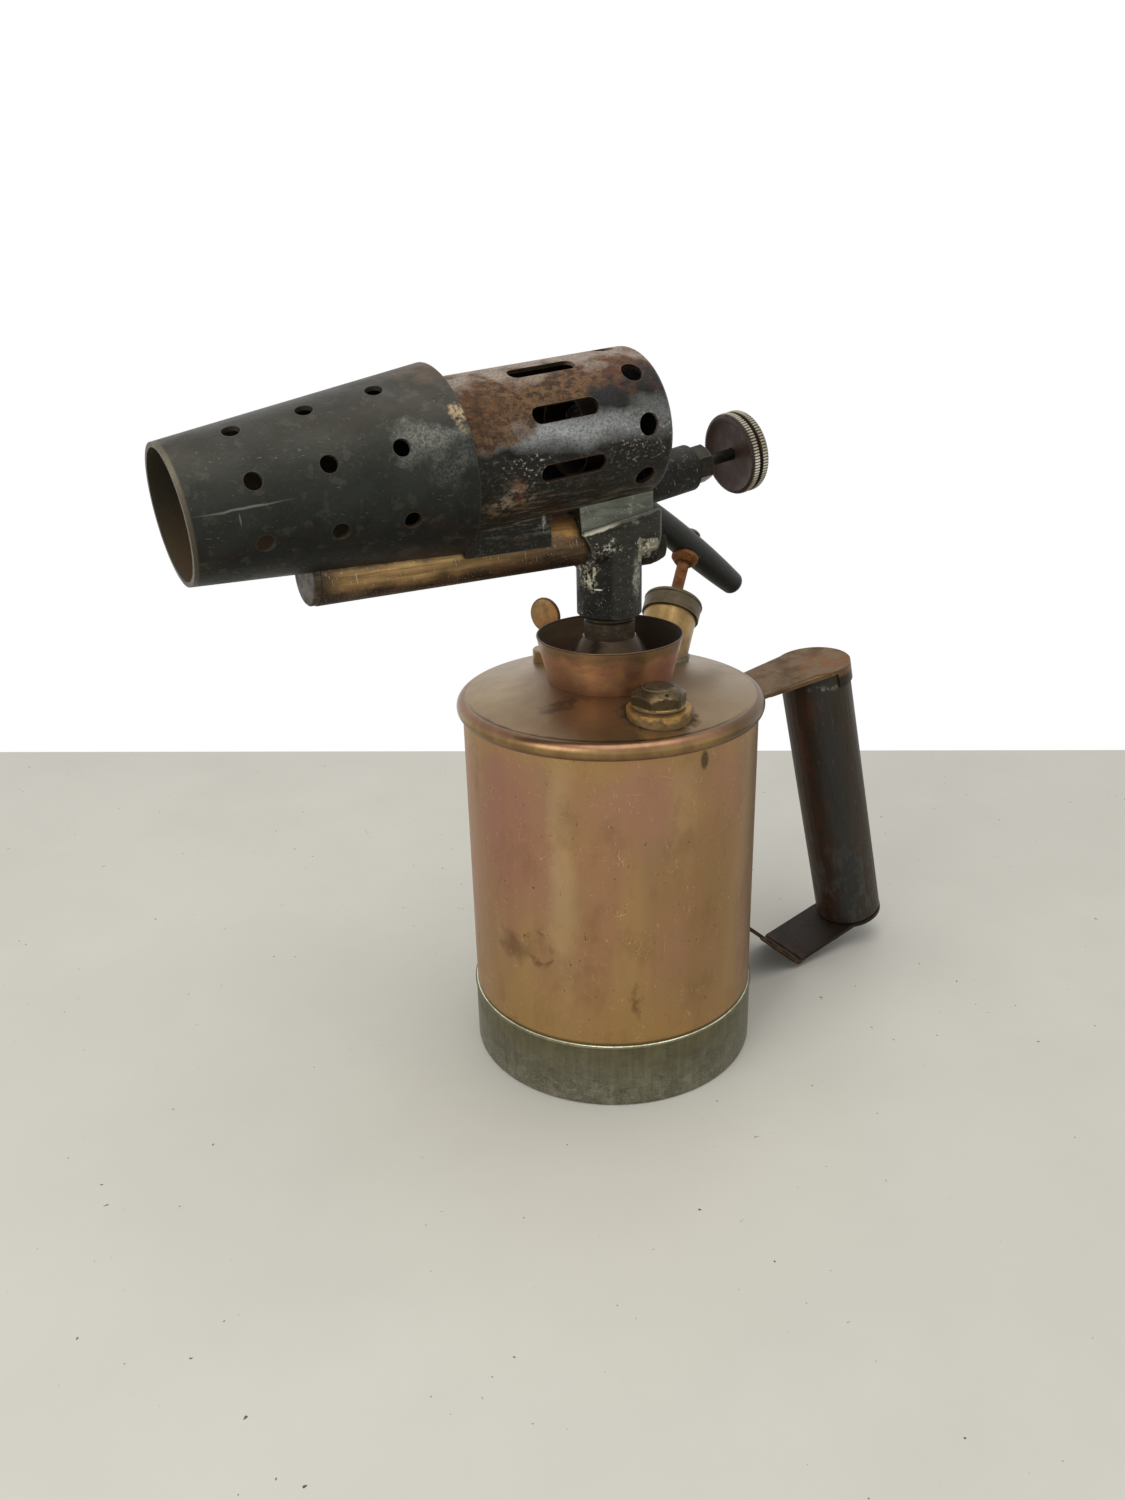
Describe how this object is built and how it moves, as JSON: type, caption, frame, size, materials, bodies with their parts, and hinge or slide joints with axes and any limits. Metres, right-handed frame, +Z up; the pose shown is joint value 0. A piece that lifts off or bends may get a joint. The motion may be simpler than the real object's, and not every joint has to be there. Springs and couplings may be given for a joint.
{
  "type": "paraffin blowlamp",
  "caption": "Tabletop paraffin blowlamp: brass tank with side pump and carrying handle, priming cup, cast burner, slotted flame tube with tapered nozzle and valve wheel.",
  "frame": {"origin": "centre of the tank's base, on the surface it stands on", "axes": "+Z up; +X the way the flame points, level; +Y to the left of the flame; the carrying handle is at -X"},
  "size_m": [0.3236, 0.1248, 0.2904],
  "materials": {
    "tank_brass": "tarnished, streaked",
    "base_zinc": "galvanised, dull",
    "cup_copper": "coppery, heat-stained",
    "riser_steel": "black, sooty",
    "casting_iron": "black, scaled",
    "flame_steel": "heat-darkened",
    "vaporiser_bronze": "heat-stained",
    "gauze": "woven",
    "valve_steel": "dull, worn",
    "packing": "graphited cord",
    "wheel_bakelite": "dark red-brown, worn",
    "pump_brass": "golden, tarnished",
    "cap_brass": "grey-olive tarnish",
    "rod_rust": "rusty",
    "leather": "oiled",
    "handle_wood": "black lacquer",
    "pellet_rubber": "matt",
    "spring_steel": "bright",
    "filler_brass": "orange-gold",
    "gasket_leather": "oiled",
    "strap_rust": "brown rust",
    "grip_wood": "worn black paint"
  },
  "bodies": {
    "lamp": {"base_cup": "base_zinc", "tank_shell": "tank_brass", "tank_floor": "tank_brass", "tank_dome": "tank_brass", "neck_bush": "pump_brass", "riser": "riser_steel", "priming_cup": "cup_copper", "pickup_tube": "pump_brass", "fuel_strainer": "gauze", "burner_body": "casting_iron", "cleaning_plug": "valve_steel", "jet": "pump_brass", "flame_tube": "flame_steel", "nozzle": "flame_steel", "vaporiser": "vaporiser_bronze", "vaporiser_plug": "riser_steel", "vaporiser_wick": "gauze", "gland_packing": "packing", "gland_nut": "valve_steel", "pump_barrel": "pump_brass", "barrel_ferrule": "base_zinc", "pump_cap": "cap_brass", "check_valve_plug": "pump_brass", "check_valve_cage": "pump_brass", "check_valve_spring": "spring_steel", "filler_boss": "filler_brass", "air_screw_boss": "filler_brass", "top_strap": "strap_rust", "bottom_strap": "strap_rust", "grip": "grip_wood", "grip_bolt": "rod_rust"},
    "spindle": {"spindle": "valve_steel"},
    "handwheel": {"handwheel": "wheel_bakelite"},
    "piston": {"piston_leather": "leather"},
    "pump_rod": {"pump_rod": "rod_rust", "piston_washers": "pump_brass", "piston_nut": "pump_brass", "pump_handle": "handle_wood", "handle_collar": "rod_rust", "handle_rivet": "pump_brass"},
    "filler_gasket": {"filler_gasket": "gasket_leather"},
    "filler_plug": {"filler_plug": "filler_brass"},
    "air_stem": {"air_screw_stem": "filler_brass"},
    "air_head": {"air_screw_head": "filler_brass"},
    "pellet": {"check_valve_pellet": "pellet_rubber"}
  },
  "joints": [
    {"name": "spindle_travel", "type": "slide", "parent": "lamp", "child": "spindle", "axis": [-0.9874, 0, 0.1582], "range_m": [0, 0.002]},
    {"name": "wheel_turn", "type": "hinge", "parent": "spindle", "child": "handwheel", "pos_m": [-0.0613, 0, 0.24745], "axis": [-0.9874, 0, 0.1582], "range_deg": [0, 720]},
    {"name": "pump_stroke", "type": "slide", "parent": "lamp", "child": "piston", "axis": [-0.5647, -0.4255, 0.7071], "range_m": [0, 0.114]},
    {"name": "pump_turn", "type": "hinge", "parent": "piston", "child": "pump_rod", "pos_m": [-0.06903, -0.04167, 0.20149], "axis": [-0.5647, -0.4255, 0.7071], "continuous": true},
    {"name": "filler_lift", "type": "slide", "parent": "lamp", "child": "filler_gasket", "axis": [0, 0, 1], "range_m": [0, 0.0075]},
    {"name": "filler_turn", "type": "hinge", "parent": "filler_gasket", "child": "filler_plug", "pos_m": [0.005, 0.0413, 0.1645], "axis": [0, 0, 1], "range_deg": [0, 1800]},
    {"name": "air_lift", "type": "slide", "parent": "lamp", "child": "air_stem", "axis": [0, 0, 1], "range_m": [0, 0.0024]},
    {"name": "air_turn", "type": "hinge", "parent": "air_stem", "child": "air_head", "pos_m": [0.0055, -0.0415, 0.1815], "axis": [0, 0, 1], "range_deg": [0, 1080]},
    {"name": "pellet_lift", "type": "slide", "parent": "lamp", "child": "pellet", "axis": [0.5647, 0.4255, -0.7071], "range_m": [0, 0.0015], "stiffness_N_per_m": 300, "springref_m": -0.003, "deforming": ["check_valve_spring"]}
  ],
  "couplings": [
    {"joint": "wheel_turn", "follows": "spindle_travel", "rad_per_m": 6283.2},
    {"joint": "filler_turn", "follows": "filler_lift", "rad_per_m": 4188.8},
    {"joint": "air_turn", "follows": "air_lift", "rad_per_m": 7854}
  ]
}
